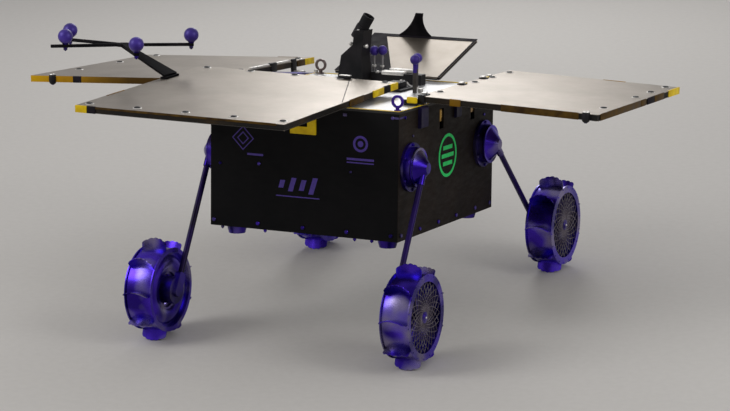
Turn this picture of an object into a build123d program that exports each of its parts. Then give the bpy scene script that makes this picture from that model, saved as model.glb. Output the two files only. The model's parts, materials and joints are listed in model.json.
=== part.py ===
from build123d import *
from math import atan2, cos, degrees, hypot, radians, sin
import os

# A four-wheeled planetary rover on swinging legs, in millimetres and degrees.
# It is built level in the body's own frame: the origin is the middle of the body's
# underside, -Y is ahead, +X is the rover's left and +Z is up. The last step stands
# the whole rover on its wheels, nose up a little, with the floor at Z = 0 and the
# origin under the middle of the whole rover's outline.

# Body
body_width = 422
body_depth = 476
body_height = 262
wall = 5
floor_plate = 4
deck_plate = 5
edge_round = 2

# Recesses in the side walls' upper band, and the gold liner behind them
slot_width = 20
slot_height = 42
slot_top = 245
slot_places = [-31, 128]
liner_gap = 6
liner_wall = 2
liner_height = 110

# Equipment inside, one plain heavy block
equipment_width = 250
equipment_depth = 300
equipment_height = 120

# Feet under the corners of the belly
foot_root_radius = 22
foot_tip_radius = 17
foot_height = 19
foot_inset = 40

# Shoulders, where the legs swing
shoulder_along = 183
shoulder_height = 145
shoulder_flange_radius = 49.5
shoulder_flange = 6
shoulder_drum_radius = 41
shoulder_reach = 17
shoulder_pin_radius = 8
shoulder_pin_length = 12
pin_clearance = 0.05
swing_gap = 1

# Legs
leg_length = 305.5
leg_radius = 6
hood_plate_radius = 40
hood_plate = 3
hood_root_radius = 35
hood_nose_radius = 11
hood_depth = 19.5
socket_radius = 7.5
socket_length = 36
socket_seat = 20
socket_gap = 2
front_leg_angle = 28
rear_leg_angle = 48.5

# Wheels
rim_radius = 86
tip_radius = 107
wheel_width = 61
flange_thickness = 2.5
barrel_radius = 83
barrel_crown = 2
barrel_wall = 2.5
grouser_count = 9
grouser_thickness = 2
grouser_width = 55
grouser_bow = 8
grouser_crown = 9
scallop_count = 5
scallop_depth = 2
wheel_gap = 6.5
face_ring_radius = 71
web_thickness = 2.5
web_lip = 9
groove_depth = 8
dome_width = 30
dome_edge = 6
dome_depth = 3
step_width = 4.5
step_depth = 4
web_margin = 3
lattice_thickness = 3
lattice_rib = 2.2
lattice_spokes = 16
lattice_rows = [14, 24, 35, 47, 59, 71]
hub_radius = 9.5
hub_length = 14
drive_radius = 28
drive_depth = 30
axle_radius = 6
knuckle_width = 24
knuckle_rise = 38
knuckle_drop = 12

# Sandwich panels of the sun deck
panel_thickness = 13
panel_skin = 1
core_inset = 1.5
panel_corner = 4
front_panel_size = (462, 512)
front_panel_shift = -126
front_panel_reach = 34
front_panel_height = 18
front_panel_pitch = 2.6
front_panel_roll = 0.6
left_panel_size = (387, 478)
left_panel_middle = 113
left_panel_inset = 17
left_panel_droop = 1.7
right_panel_size = (433, 511)
right_panel_middle = 183
right_panel_gap = 103
right_panel_height = 9.5
right_panel_droop = 2.7
right_panel_pitch = -0.8
rear_panel_size = (249, 212)
rear_panel_thickness = 6
rear_panel_middle = -25
rear_panel_inset = 36
rear_panel_rise = 17

# Hinges of the left and the rear panel
hinge_pin_radius = 2
hinge_barrel_radius = 4.5
hinge_width = 16
hinge_gap = 1
hinge_height = 6
rear_hinge_height = 5
hinge_lug = 4
left_hinge_places = [-83, 30, 217]
rear_hinge_places = [-80, 56]
leaf_length = 16
leaf_thickness = 2

# Supports under the fixed panels, made overlong and cut off at the panel's underside
support_blank = 60
pad_radius = 8
pad_places = [(-185, -200), (-40, -200), (60, -200), (-185, -50), (-40, -50), (60, -50)]
bracket_width = 57
bracket_leg = 30
bracket_sheet = 4
bracket_drop = 59
bracket_notch_width = 20
bracket_notch_height = 14
bracket_notch_drop = 30
arm_width = 24
arm_places = [10, 222]
arm_bearing = 45
arm_depth = 15

# Brackets on the left wall under the left panel
WALL_BRACKETS = [
    # y, width, height, depth, gap under the deck's top
    (-131, 34, 42, 8, 2),
    (45, 26, 26, 6, 18),
]
wall_bracket_round = 3

# Lifting eyes on the deck
eye_places = [(202.5, -228), (-193, 228)]
eye_bore = 8
eye_rim = 5.2
eye_round = 1.2
eye_shank = 8
eye_height = 19
eye_foot_radius = 7
eye_foot = 3

# Cable tower and its gland
TOWER_PROFILE = [
    # x, height over the deck
    (-102, 0),
    (-93, 57),
    (-66, 81),
    (-63, 112),
    (-40, 112),
    (-46, 60),
    (-40, 0),
]
tower_front = 122
tower_depth = 44
gland_radius = 13
gland_bore = 10.5
gland_length = 26
gland_lean = 30
gland_seat_radius = 14.5

# Box and marker posts behind the tower
box_size = (116, 24, 22)
box_place = (23, 163)
marker_radius = 10.5
post_seat = 4
POSTS = [
    # x, y, height of the ball's middle over the deck, radius of the post
    (-42, 180, 64, 2.5),
    (-23, 180, 66, 2.5),
    (117, 41, 69, 4.4),
    (95, 100, 65, 2.5),
]

# Marker rig over the front panel's outer edge
rig_foot = (-348, -165)
rig_hub = (-458, -165)
rig_height = 345
rig_sheet = 4
rig_foot_length = 14
rig_foot_width = 54
rig_hub_width = 26
rig_hub_radius = 17
rig_arm_width = 10
rig_arm_depth = 6
rig_ball_radius = 15.5
rig_ball_height = 23
rig_post_radius = 3
RIG_ARMS = [
    # end x, end y, how far along the arm its ball stands, as a share
    (-574, -265, 0.83),
    (-606, -143, 1),
    (-337, -83, 1),
    (-349, -300, 1),
]

# Fin on the rear panel's far edge
fin_width = 80
fin_height = 54
fin_shift = -25
fin_tip = 18
fin_lean = 17
fin_waist = 27
fin_neck = 2
fin_sheet = 4

# Places worked out from the sizes above
half_width = body_width / 2
half_depth = body_depth / 2
deck_top = body_height
plate_start = half_width + shoulder_reach + swing_gap
leg_plane = plate_start + hood_plate + socket_gap + socket_radius
web_opening = drive_radius + web_margin
wheel_face = leg_plane + leg_radius + wheel_gap
SIDES = {"left": 1, "right": -1}
ENDS = {"front": -1, "rear": 1}
LEG_ANGLES = {"front": front_leg_angle, "rear": rear_leg_angle}


def foot_place(end):
    """Y and Z of the wheel's axle at one end, in the body's frame."""
    swing = radians(LEG_ANGLES[end])
    along = ENDS[end] * (shoulder_along + leg_length * sin(swing))
    return along, shoulder_height - leg_length * cos(swing)


front_y, front_z = foot_place("front")
rear_y, rear_z = foot_place("rear")
nose_up = degrees(atan2(rear_z - front_z, rear_y - front_y))
half_pitch = 180 / grouser_count
axle_height = (tip_radius * cos(radians(half_pitch))
               + grouser_thickness / 2 * sin(radians(half_pitch)))
lift = axle_height - (front_z * cos(radians(nose_up)) - front_y * sin(radians(nose_up)))
stand = Pos(0, 0, lift) * Rot(-nose_up, 0, 0)

pieces = {}


def along_x(radius, start, length):
    """A cylinder along X from start."""
    return Pos(start, 0, 0) * Rot(0, 90, 0) * Cylinder(
        radius, length, align=(Align.CENTER, Align.CENTER, Align.MIN))


def cone_x(root, tip, start, length):
    """A cone along X from start."""
    return Pos(start, 0, 0) * Rot(0, 90, 0) * Cone(
        root, tip, length, align=(Align.CENTER, Align.CENTER, Align.MIN))


def upright(radius, height):
    """A cylinder that stands on Z = 0."""
    return Cylinder(radius, height, align=(Align.CENTER, Align.CENTER, Align.MIN))


def block(x, y, z):
    """A block that stands on Z = 0."""
    return Box(x, y, z, align=(Align.CENTER, Align.CENTER, Align.MIN))


# Body shell: four walls, floor, deck, gold liner and the equipment block
wall_height = body_height - floor_plate - deck_plate
end_wall = block(body_width, wall, wall_height)
side_wall = block(wall, body_depth - 2 * wall, wall_height)
for place in slot_places:
    side_wall -= Pos(0, place, slot_top - slot_height - floor_plate) * block(
        2 * wall, slot_width, slot_height)
wall_middle = half_depth - wall / 2
pieces["front_wall"] = Pos(0, -wall_middle, floor_plate) * end_wall
pieces["rear_wall"] = Pos(0, wall_middle, floor_plate) * end_wall
pieces["left_wall"] = Pos(half_width - wall / 2, 0, floor_plate) * side_wall
pieces["right_wall"] = Pos(wall / 2 - half_width, 0, floor_plate) * side_wall
pieces["floor_plate"] = block(body_width, body_depth, floor_plate)
deck = Pos(0, 0, deck_top - deck_plate) * block(body_width, body_depth, deck_plate)
pieces["deck_plate"] = chamfer(deck.edges().filter_by(Axis.Z), edge_round)
liner_width = body_width - 2 * wall - 2 * liner_gap
liner_depth = body_depth - 2 * wall - 2 * liner_gap
pieces["gold_liner"] = Pos(0, 0, deck_top - deck_plate - liner_height) * (
    block(liner_width, liner_depth, liner_height)
    - block(liner_width - 2 * liner_wall, liner_depth - 2 * liner_wall, liner_height))
pieces["equipment_block"] = Pos(0, 0, floor_plate) * block(
    equipment_width, equipment_depth, equipment_height)

# Feet under the belly
feet = []
for x in (-1, 1):
    for y in (-1, 1):
        foot = Pos(x * (half_width - foot_inset), y * (half_depth - foot_inset), 0) * Rot(180, 0, 0)
        feet.append(foot * Cone(foot_root_radius, foot_tip_radius, foot_height,
                                align=(Align.CENTER, Align.CENTER, Align.MIN)))
pieces["belly_feet"] = Compound(feet)

# Shoulder bases: flange, drum and the bore for the leg's pin
base = along_x(shoulder_flange_radius, 0, shoulder_flange)
base += along_x(shoulder_drum_radius, shoulder_flange, shoulder_reach - shoulder_flange)
bore_depth = shoulder_pin_length + 1
base -= along_x(shoulder_pin_radius + pin_clearance, shoulder_reach - bore_depth, bore_depth)


def hood():
    """The hood that swings at the shoulder: plate, pin, tapered hood and leg socket."""
    start = swing_gap + shoulder_reach
    body = along_x(hood_plate_radius, start, hood_plate)
    body += cone_x(hood_root_radius, hood_nose_radius, start + hood_plate, hood_depth)
    body += along_x(shoulder_pin_radius, start - shoulder_pin_length, shoulder_pin_length)
    down = Pos(leg_plane - half_width, 0, -socket_length)
    body += down * upright(socket_radius, socket_length)
    body -= down * upright(leg_radius, socket_seat)
    return body


tube_length = leg_length - knuckle_rise - socket_length + socket_seat
tube = Pos(leg_plane - half_width, 0, knuckle_rise - leg_length) * upright(leg_radius, tube_length)


def drive():
    """The knuckle at the leg's end with the wheel's drive housing and axle."""
    inboard = leg_plane - half_width
    knuckle = Pos(inboard, 0, -leg_length - knuckle_drop) * block(
        2 * leg_radius, knuckle_width, knuckle_drop + knuckle_rise)
    knuckle = fillet(knuckle.edges().filter_by(Axis.X), knuckle_width / 4)
    housing = Pos(0, 0, -leg_length) * along_x(
        drive_radius, inboard, wheel_face - leg_plane + drive_depth)
    axle = Pos(0, 0, -leg_length) * along_x(
        axle_radius, wheel_face - half_width, wheel_width - hub_length / 2)
    return knuckle + housing + axle


def web(inner):
    """Edges of the wheel's inner web: lip, groove, dome and two steps down to the opening.

    They run from the web's outer root inwards on the hidden side and back out on the
    open side, ending on the rim's inner face."""
    lip = rim_radius - web_lip
    dome_start = lip - dome_edge
    dome_end = dome_start - dome_width
    dome_middle = (dome_start + dome_end) / 2
    first = dome_end - step_width
    open_side = [
        (0, lip),
        (groove_depth, lip - web_thickness),
        (groove_depth, dome_start),
    ]
    steps = [
        (groove_depth, dome_end),
        (groove_depth, first),
        (groove_depth + step_depth, first),
        (groove_depth + step_depth, web_opening),
    ]
    back = groove_depth + web_thickness
    hidden_side = [
        (back, inner),
        (back, dome_start),
    ]
    hidden_steps = [
        (back, dome_end),
        (back, first + web_thickness),
        (back + step_depth, first + web_thickness),
        (back + step_depth, web_opening),
    ]
    edges = [Line(a, b) for a, b in zip(hidden_side[:-1], hidden_side[1:])]
    edges.append(ThreePointArc(hidden_side[-1], (dome_depth + web_thickness, dome_middle),
                               hidden_steps[0]))
    edges += [Line(a, b) for a, b in zip(hidden_steps[:-1], hidden_steps[1:])]
    edges.append(Line(hidden_steps[-1], steps[-1]))
    inward = steps[::-1]
    edges += [Line(a, b) for a, b in zip(inward[:-1], inward[1:])]
    edges.append(ThreePointArc(steps[0], (dome_depth, dome_middle), open_side[-1]))
    outward = open_side[::-1]
    edges += [Line(a, b) for a, b in zip(outward[:-1], outward[1:])]
    return edges


def rim():
    """The wheel's rim: barrel, flanges, face ring, domed web and grousers."""
    face = wheel_width
    inner = barrel_radius - barrel_wall
    crown = (wheel_width / 2, barrel_radius + barrel_crown)
    outline = [
        Line((0, rim_radius - web_lip), (0, rim_radius)),
        Line((0, rim_radius), (flange_thickness, rim_radius)),
        Line((flange_thickness, rim_radius), (flange_thickness, barrel_radius)),
        ThreePointArc((flange_thickness, barrel_radius), crown, (face - flange_thickness, barrel_radius)),
        Line((face - flange_thickness, barrel_radius), (face - flange_thickness, rim_radius)),
        Line((face - flange_thickness, rim_radius), (face, rim_radius)),
        Line((face, rim_radius), (face, face_ring_radius)),
        Line((face, face_ring_radius), (face - flange_thickness, face_ring_radius)),
        Line((face - flange_thickness, face_ring_radius), (face - flange_thickness, inner)),
        Line((face - flange_thickness, inner), (groove_depth + web_thickness, inner)),
    ]
    outline += web(inner)
    section = make_face(outline)
    ring = revolve(section, Axis.X, 360)
    for index in range(grouser_count):
        angle = 270 + half_pitch + index * 2 * half_pitch + nose_up
        ring += Rot(angle - 90, 0, 0) * grouser()
    return ring


def grouser():
    """One paddle that stands up from the barrel: a curved plate with a crowned, scalloped edge."""
    half = grouser_width / 2
    root = barrel_radius - barrel_wall / 2
    height = tip_radius - root
    front = grouser_thickness / 2
    plan = [
        ThreePointArc((-half, front - grouser_bow), (0, front), (half, front - grouser_bow)),
        Line((half, front - grouser_bow), (half, -front - grouser_bow)),
        ThreePointArc((half, -front - grouser_bow), (0, -front), (-half, -front - grouser_bow)),
        Line((-half, -front - grouser_bow), (-half, front - grouser_bow)),
    ]
    plate = extrude(Plane.XY * make_face(plan), height)

    def crest(x, dip):
        return x, height - dip - grouser_crown * (x / half) ** 2

    step = grouser_width / scallop_count
    edges = [Line((half, 0), (-half, 0)), Line((-half, 0), crest(-half, scallop_depth))]
    for index in range(scallop_count):
        x = index * step - half
        edges.append(ThreePointArc(crest(x, scallop_depth), crest(x + step / 2, 0),
                                   crest(x + step, scallop_depth)))
    edges.append(Line(crest(half, scallop_depth), (half, 0)))
    outline = extrude(Plane.XZ * make_face(edges), grouser_width, both=True)
    return Pos(wheel_width / 2, 0, root) * (plate & outline)


def lattice():
    """The wheel's outer face: crossing ribs between a hub and a thin ring."""
    outer = barrel_radius - barrel_wall
    holes = []
    step = 360 / lattice_spokes
    trim = lattice_rib / 2
    for row in range(1, len(lattice_rows) - 1):
        low = lattice_rows[row - 1]
        middle = lattice_rows[row]
        high = lattice_rows[row + 1]
        shift = step / 2 if row % 2 else 0
        for spoke in range(lattice_spokes):
            angle = radians(spoke * step + shift)
            half = radians(step / 2)
            side = middle * sin(half) - trim
            corners = [(low + 2 * trim, 0), (middle, side), (high - 2 * trim, 0), (middle, -side)]
            turned = [(u * cos(angle) - v * sin(angle), u * sin(angle) + v * cos(angle))
                      for u, v in corners]
            holes.append(Wire.make_polygon([Vector(*point) for point in turned], close=True))
    plate = Face(Wire.make_circle(outer), holes)
    web = extrude(Plane.XY * plate, lattice_thickness)
    web = Rot(0, 90, 0) * web
    face = wheel_width - flange_thickness - lattice_thickness
    disc = Pos(face, 0, 0) * web
    disc += along_x(hub_radius, face + lattice_thickness - hub_length, hub_length)
    disc -= along_x(axle_radius + pin_clearance, face + lattice_thickness - hub_length,
                    hub_length - lattice_thickness / 2)
    return disc


bases = []
rim_piece = rim()
lattice_piece = lattice()
for side, sign in SIDES.items():
    for end, toward in ENDS.items():
        name = f"{end}_{side}"
        shoulder = Pos(half_width, toward * shoulder_along, shoulder_height)
        swing = shoulder * Rot(toward * LEG_ANGLES[end], 0, 0)
        along, height = foot_place(end)
        wheel = Pos(wheel_face, along, height)
        group = {
            f"leg_hood_{name}": swing * hood(),
            f"leg_tube_{name}": swing * tube,
            f"wheel_drive_{name}": swing * drive(),
            f"wheel_rim_{name}": wheel * rim_piece,
            f"wheel_lattice_{name}": wheel * lattice_piece,
        }
        for key, piece in group.items():
            pieces[key] = piece if sign > 0 else mirror(piece, about=Plane.YZ)
        seated = shoulder * base
        bases.append(seated if sign > 0 else mirror(seated, about=Plane.YZ))
pieces["shoulder_bases"] = Compound(bases)


def panel(name, size, frame, thickness):
    """A sandwich panel whose top face's middle is at the frame: two skins on a core."""
    across, along = size
    sheet = block(across, along, panel_skin)
    sheet = fillet(sheet.edges().filter_by(Axis.Z), panel_corner)
    top = Pos(0, 0, -panel_skin) * sheet
    bottom = Pos(0, 0, -thickness) * sheet
    core = Pos(0, 0, panel_skin - thickness) * block(
        across - 2 * core_inset, along - 2 * core_inset, thickness - 2 * panel_skin)
    pieces[f"{name}_panel_skins"] = Compound([frame * top, frame * bottom])
    pieces[f"{name}_panel_core"] = frame * core


hinge_offset = hinge_barrel_radius + hinge_gap
front_middle = Pos(front_panel_shift, -half_depth - front_panel_reach, deck_top + front_panel_height)
front_frame = front_middle * Rot(front_panel_pitch, front_panel_roll, 0)
right_edge = Pos(-half_width - right_panel_gap, right_panel_middle, deck_top + right_panel_height)
right_tilt = Rot(right_panel_pitch, -right_panel_droop, 0)
right_frame = right_edge * right_tilt * Pos(-right_panel_size[0] / 2, 0, 0)
left_axis = Pos(half_width - left_panel_inset, left_panel_middle, deck_top + hinge_height) * Rot(0, 0, -90)
left_turn = left_axis * Rot(-left_panel_droop, 0, 0)
left_frame = left_turn * Pos(0, left_panel_size[0] / 2 + hinge_offset, panel_thickness) * Rot(0, 0, 90)
rear_axis = Pos(rear_panel_middle, half_depth - rear_panel_inset, deck_top + rear_hinge_height)
rear_turn = rear_axis * Rot(rear_panel_rise, 0, 0)
rear_frame = rear_turn * Pos(0, rear_panel_size[1] / 2 + hinge_offset, rear_panel_thickness)
panel("front", front_panel_size, front_frame, panel_thickness)
panel("left", left_panel_size, left_frame, panel_thickness)
panel("right", right_panel_size, right_frame, panel_thickness)
panel("rear", rear_panel_size, rear_frame, rear_panel_thickness)


def below(piece, frame):
    """What is left of a piece under the underside of a panel."""
    cover = frame * Pos(0, 0, -panel_thickness) * block(4000, 4000, 1000)
    return piece - cover


# Pads and the bracket that carry the front panel
pads = []
for x, y in pad_places:
    pads.append(below(Pos(x, y, deck_top) * upright(pad_radius, support_blank), front_frame))
pieces["front_panel_pads"] = Compound(pads)
stand_off = Pos(0, -half_depth - bracket_sheet / 2, deck_top - bracket_drop) * block(
    bracket_width, bracket_sheet, bracket_drop + support_blank)
stand_off -= Pos(0, -half_depth - bracket_sheet / 2, deck_top - bracket_notch_drop
                 - bracket_notch_height) * block(
    bracket_notch_width, 2 * bracket_sheet, bracket_notch_height)
shelf = Pos(0, -half_depth - bracket_leg / 2, deck_top) * block(bracket_width, bracket_leg, support_blank)
pieces["front_panel_bracket"] = below(stand_off + shelf, front_frame)

# Arms that carry the right panel out from the wall
arms = []
for place in arm_places:
    leg = Pos(-half_width - bracket_sheet / 2, place, deck_top - bracket_drop) * block(
        bracket_sheet, arm_width, bracket_drop)
    reach = right_panel_gap + arm_bearing
    bar = Pos(-half_width - reach / 2, place, deck_top - arm_depth) * block(
        reach, arm_width, 2 * arm_depth)
    arms.append(below(leg + bar, right_frame))
pieces["right_panel_arms"] = Compound(arms)

# Brackets on the left wall
brackets = []
for y, width, height, depth, gap in WALL_BRACKETS:
    bracket = Pos(half_width + depth / 2, y, deck_top - gap - height) * block(depth, width, height)
    outer = bracket.edges().filter_by(Axis.Y).group_by(Axis.X)[-1]
    brackets.append(fillet(outer, wall_bracket_round))
pieces["left_wall_brackets"] = Compound(brackets)

# Lifting eyes
eyes = []
ring = Cylinder(eye_bore + eye_rim, eye_rim) - Cylinder(eye_bore, 2 * eye_rim)
ring = fillet(ring.edges().filter_by(GeomType.CIRCLE), eye_round)
for x, y in eye_places:
    eye = upright(eye_foot_radius, eye_foot)
    eye += upright(eye_shank / 2, eye_height - eye_bore - eye_rim / 2)
    eye += Pos(0, 0, eye_height) * Rot(90, 0, 0) * ring
    eyes.append(Pos(x, y, deck_top) * eye)
pieces["lifting_eyes"] = Compound(eyes)

# Tower and gland
tower_face = make_face(Polyline(*TOWER_PROFILE, close=True))
tower = extrude(Plane.XZ * tower_face, -tower_depth)
tower = Pos(0, tower_front, deck_top) * tower
gland_x = (TOWER_PROFILE[3][0] + TOWER_PROFILE[4][0]) / 2
gland_rise = gland_seat_radius * sin(radians(gland_lean))
gland_place = Pos(gland_x, tower_front + tower_depth / 2,
                  deck_top + TOWER_PROFILE[3][1] + gland_rise) * Rot(0, gland_lean, 0)
seat = upright(gland_seat_radius, 2 * gland_seat_radius)
tower += gland_place * Pos(0, 0, -2 * gland_seat_radius) * seat
gland = upright(gland_radius, gland_length) - Pos(0, 0, gland_length / 2) * upright(
    gland_bore, gland_length)
pieces["cable_tower"] = tower
pieces["cable_gland"] = gland_place * gland

# Box and marker posts
box = Pos(box_place[0], box_place[1], deck_top) * block(*box_size)
pieces["connector_box"] = box
posts = []
balls = []
for x, y, height, radius in POSTS:
    post = Pos(x, y, deck_top) * upright(radius, height - marker_radius + post_seat)
    posts.append(post)
    balls.append(Pos(x, y, deck_top + height) * Sphere(marker_radius) - post)
pieces["marker_posts"] = Compound(posts)
pieces["marker_balls"] = Compound(balls)

# Marker rig: a tapered sheet from the front panel's edge up to a hub with four arms
foot_x = rig_foot[0] - front_panel_shift
foot_y = rig_foot[1] + half_depth + front_panel_reach
rig = front_frame * Pos(foot_x, foot_y, 0) * block(rig_foot_length, rig_foot_width, rig_sheet)
foot_top = (front_frame * Pos(foot_x, foot_y, 0)).position.Z
run = rig_hub[0] - rig_foot[0]
rise = rig_height - foot_top - rig_sheet
slope = degrees(atan2(rise, -run))
strut_length = hypot(run, rise)
strut_face = make_face(Polyline((0, -rig_foot_width / 2), (strut_length, -rig_hub_width / 2),
                                (strut_length, rig_hub_width / 2), (0, rig_foot_width / 2),
                                close=True))
strut = extrude(strut_face, rig_sheet)
rig += Pos(rig_foot[0], rig_foot[1], foot_top + rig_sheet) * Rot(0, slope, 180) * strut
rig += Pos(rig_hub[0], rig_hub[1], rig_height) * upright(rig_hub_radius, rig_arm_depth)
rig_balls = []
for x, y, share in RIG_ARMS:
    heading = degrees(atan2(y - rig_hub[1], x - rig_hub[0]))
    reach = hypot(x - rig_hub[0], y - rig_hub[1])
    arm = Pos(reach / 2, 0, 0) * block(reach, rig_arm_width, rig_arm_depth)
    rig += Pos(rig_hub[0], rig_hub[1], rig_height) * Rot(0, 0, heading) * arm
    spot = Pos(rig_hub[0], rig_hub[1], rig_height) * Rot(0, 0, heading) * Pos(
        share * (reach - rig_arm_width / 2), 0, 0)
    stem = spot * upright(rig_post_radius, rig_ball_height - rig_ball_radius + post_seat)
    rig += stem
    rig_balls.append(spot * Pos(0, 0, rig_ball_height) * Sphere(rig_ball_radius) - stem)
pieces["marker_rig"] = rig
pieces["marker_rig_balls"] = Compound(rig_balls)

# Fin on the rear panel's far edge
half_fin = fin_width / 2
tip_right = (fin_lean + fin_tip / 2, fin_height)
tip_left = (fin_lean - fin_tip / 2, fin_height)
right_waist = (tip_right[0] - fin_neck, fin_waist)
left_waist = (tip_left[0] - (half_fin + tip_left[0]) / 3, fin_waist)
fin_edges = [
    Line((-half_fin, 0), (half_fin, 0)),
    ThreePointArc((half_fin, 0), right_waist, tip_right),
    Line(tip_right, tip_left),
    ThreePointArc(tip_left, left_waist, (-half_fin, 0)),
]
fin = extrude(Plane.XZ * make_face(fin_edges), fin_sheet)
pieces["rear_panel_fin"] = rear_frame * Pos(fin_shift, rear_panel_size[1] / 2, 0) * fin


def hinges(name, turn, axis, places, thickness):
    """Fixed lugs with their pins on the deck, and the leaves that swing with a panel.

    Both frames lie on the hinge's line, X along it and Y into the panel."""
    lugs = []
    leaves = []
    for place in places:
        spot = axis * Pos(place, 0, 0)
        drop = spot.position.Z - deck_top
        ends = (hinge_width + hinge_lug) / 2 + hinge_gap / 2
        lug = along_x(hinge_pin_radius, -ends - hinge_lug / 2, 2 * ends + hinge_lug)
        for offset in (-ends, ends):
            lug += Pos(offset - hinge_lug / 2, 0, 0) * along_x(hinge_barrel_radius, 0, hinge_lug)
            lug += Pos(offset, 0, -drop) * block(hinge_lug, 2 * hinge_barrel_radius, drop)
        lugs.append(spot * lug)
        leaf = along_x(hinge_barrel_radius, -hinge_width / 2, hinge_width)
        riser = Pos(0, hinge_offset - leaf_thickness / 2, 0) * block(
            hinge_width, leaf_thickness, thickness + leaf_thickness)
        tie = Pos(0, hinge_offset / 2, 0) * block(hinge_width, hinge_offset, leaf_thickness)
        strap = Pos(0, hinge_offset - leaf_thickness + leaf_length / 2, thickness) * block(
            hinge_width, leaf_length, leaf_thickness)
        leaf += riser + tie + strap
        leaf -= along_x(hinge_pin_radius + pin_clearance, -hinge_width, 2 * hinge_width)
        leaves.append(turn * Pos(place, 0, 0) * leaf)
    pieces[f"{name}_panel_hinges"] = Compound(lugs)
    pieces[f"{name}_panel_leaves"] = Compound(leaves)


hinges("left", left_turn, left_axis, left_hinge_places, panel_thickness)
hinges("rear", rear_turn, rear_axis, rear_hinge_places, rear_panel_thickness)

# Stand the rover on the floor, over the origin
outline = Compound([stand * piece for piece in pieces.values()]).bounding_box().center()
place = Pos(-outline.X, -outline.Y, 0) * stand
os.makedirs("parts", exist_ok=True)
for name, piece in pieces.items():
    export_step(place * piece, f"parts/{name}.step")
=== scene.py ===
import json
import math

import bmesh
import bpy
from mathutils import Matrix, Vector


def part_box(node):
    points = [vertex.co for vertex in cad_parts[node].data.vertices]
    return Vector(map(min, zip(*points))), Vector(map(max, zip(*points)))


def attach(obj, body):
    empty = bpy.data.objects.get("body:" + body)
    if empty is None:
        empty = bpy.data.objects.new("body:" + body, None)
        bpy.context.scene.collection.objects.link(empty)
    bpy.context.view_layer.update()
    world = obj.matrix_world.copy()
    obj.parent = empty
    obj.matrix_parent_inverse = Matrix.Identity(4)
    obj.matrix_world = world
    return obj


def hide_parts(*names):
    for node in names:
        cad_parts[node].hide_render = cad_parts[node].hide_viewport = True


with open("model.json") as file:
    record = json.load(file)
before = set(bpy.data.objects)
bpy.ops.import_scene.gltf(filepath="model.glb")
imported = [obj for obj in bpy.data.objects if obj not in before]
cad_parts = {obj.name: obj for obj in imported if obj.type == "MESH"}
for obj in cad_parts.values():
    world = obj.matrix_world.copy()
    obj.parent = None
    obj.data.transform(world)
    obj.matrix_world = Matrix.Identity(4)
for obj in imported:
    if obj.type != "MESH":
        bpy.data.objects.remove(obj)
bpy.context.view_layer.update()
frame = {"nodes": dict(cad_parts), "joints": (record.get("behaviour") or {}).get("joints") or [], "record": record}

scene = bpy.context.scene
nodes = frame["nodes"]
joints = {joint["name"]: joint for joint in frame["joints"]}

# The body's own frame: x to the rover's left, y to its rear, z up, origin in the
# middle of the body's underside. Sizes are in metres.
BODY_WIDTH = 0.422
BODY_DEPTH = 0.476
BODY_HEIGHT = 0.262
SHOULDER_HEIGHT = 0.145
SHOULDER_ALONG = 0.183
PANEL_THICKNESS = 0.013

ENDS = {"front": -1, "rear": 1}
SIDES = {"left": 1, "right": -1}


def joint_place(name):
    return Vector(joints[name]["pos_m"])


def shoulder_middle(end):
    return (joint_place(f"leg_swing_{end}_left") + joint_place(f"leg_swing_{end}_right")) / 2


def axes(x, y, z, origin):
    """A frame from its three axes and its origin."""
    turn = Matrix((x, y, z)).transposed().to_4x4()
    return Matrix.Translation(origin) @ turn


along = (shoulder_middle("rear") - shoulder_middle("front")).normalized()
across = Vector((1, 0, 0))
upward = across.cross(along)
shoulders = (shoulder_middle("rear") + shoulder_middle("front")) / 2
BODY = axes(across, along, upward, shoulders - upward * SHOULDER_HEIGHT)


def plate_frame(node):
    """Frame of a flat board: origin in the middle of its top face, z its normal. And its size."""
    mesh = nodes[node].data
    normal = max((face.normal for face in mesh.polygons), key=lambda n: n.z).copy()
    side = max((face.normal for face in mesh.polygons), key=lambda n: n.x).copy()
    back = normal.cross(side).normalized()
    side = back.cross(normal).normalized()
    spans = []
    for axis in (side, back, normal):
        reach = [vertex.co.dot(axis) for vertex in mesh.vertices]
        spans.append((min(reach), max(reach)))
    middle = side * sum(spans[0]) / 2 + back * sum(spans[1]) / 2 + normal * spans[2][1]
    return axes(side, back, normal, middle), [high - low for low, high in spans]


# Materials

# The part of a noise's range that most of its values lie in
NOISE_LOW = 0.3
NOISE_HIGH = 0.7


class Value:
    """A shader socket that Python's operators work on, each adding a Math node."""

    def __init__(self, material, socket):
        self.material = material
        self.socket = socket

    def math(self, operation, *others):
        values = [self] + list(others)
        return self.material.add("ShaderNodeMath", {"operation": operation},
                                 {index: value for index, value in enumerate(values)})

    def __add__(self, other):
        return self.math("ADD", other)

    def __mul__(self, other):
        return self.math("MULTIPLY", other)

    def __rsub__(self, other):
        return (self * -1) + other

    def over(self, other):
        return self.math("GREATER_THAN", other)

    def under(self, other):
        return self.math("LESS_THAN", other)

    def both(self, other):
        return self.math("MINIMUM", other)

    def either(self, other):
        return self.math("MAXIMUM", other)

    def absolute(self):
        return self.math("ABSOLUTE")


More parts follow.
